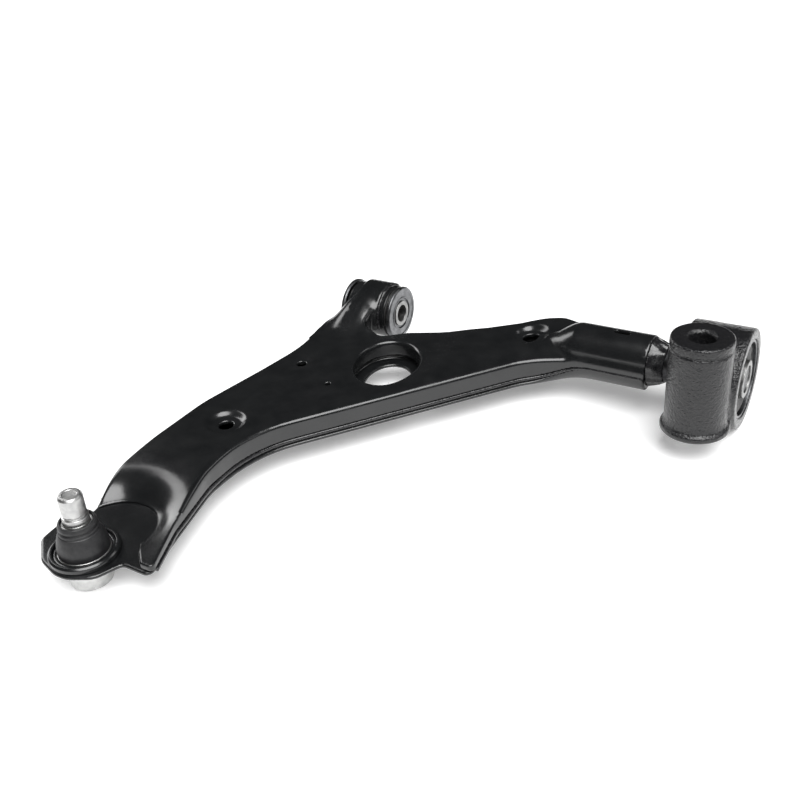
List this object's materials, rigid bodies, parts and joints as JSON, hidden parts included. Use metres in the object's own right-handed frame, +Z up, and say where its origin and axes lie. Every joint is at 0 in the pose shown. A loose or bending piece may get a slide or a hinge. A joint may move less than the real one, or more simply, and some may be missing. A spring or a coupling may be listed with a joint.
{
  "type": "suspension control arm",
  "caption": "Pressed-steel suspension control arm with a pinch-stud ball joint, a front rubber bush and a rear rubber bush in a cast bolt-on bracket.",
  "frame": {"origin": "centre of the front bush's bolt bore", "axes": "+X along the pivot axis from the front bush to the rear bush, +Z up along the ball stud, +Y inboard, away from the ball joint"},
  "size_m": [0.3739, 0.4135, 0.093],
  "materials": {
    "arm_paint": "gloss",
    "weld_paint": "gloss",
    "cast_paint": "gloss, rough cast skin",
    "zinc_steel": "satin",
    "bright_steel": "machined",
    "boot_rubber": "satin",
    "bush_rubber": "matt",
    "liner_plastic": "smooth"
  },
  "bodies": {
    "arm": {"upper_shell": "arm_paint", "lower_shell": "arm_paint", "seam_weld": "weld_paint", "front_bush_tube": "arm_paint", "front_bush_weld": "weld_paint", "front_bush_rubber": "bush_rubber", "rear_pin": "zinc_steel", "rear_pin_weld": "weld_paint", "rear_bush_sleeve": "bright_steel", "joint_housing": "zinc_steel", "joint_collar": "arm_paint", "ball_seat": "liner_plastic", "joint_cap": "zinc_steel", "dust_boot": "boot_rubber", "boot_base_ring": "zinc_steel"},
    "front_sleeve": {"front_bush_sleeve": "bright_steel", "front_washer_fore": "zinc_steel", "front_washer_aft": "zinc_steel"},
    "bracket": {"rear_bracket": "cast_paint", "rear_bush_shell": "zinc_steel", "rear_bush_rubber": "bush_rubber"},
    "stud_ring": {"boot_top_ring": "zinc_steel"},
    "stud": {"ball_stud": "bright_steel"}
  },
  "joints": [
    {"name": "front_bush_twist", "type": "hinge", "parent": "arm", "child": "front_sleeve", "pos_m": [0, 0, 0], "axis": [1, 0, 0], "range_deg": [-22, 22], "stiffness_Nm_per_rad": 20},
    {"name": "rear_bush_twist", "type": "hinge", "parent": "arm", "child": "bracket", "pos_m": [0.2955, 0, 0], "axis": [1, 0, 0], "range_deg": [-22, 22], "stiffness_Nm_per_rad": 30},
    {"name": "stud_swing", "type": "hinge", "parent": "arm", "child": "stud_ring", "pos_m": [-0.0154, -0.35, -0.026], "axis": [1, 0, 0], "range_deg": [-18, 18], "deforming": ["dust_boot"]},
    {"name": "stud_steer", "type": "hinge", "parent": "stud_ring", "child": "stud", "pos_m": [-0.0154, -0.35, -0.026], "axis": [0, 0, 1], "range_deg": [-45, 45]}
  ]
}
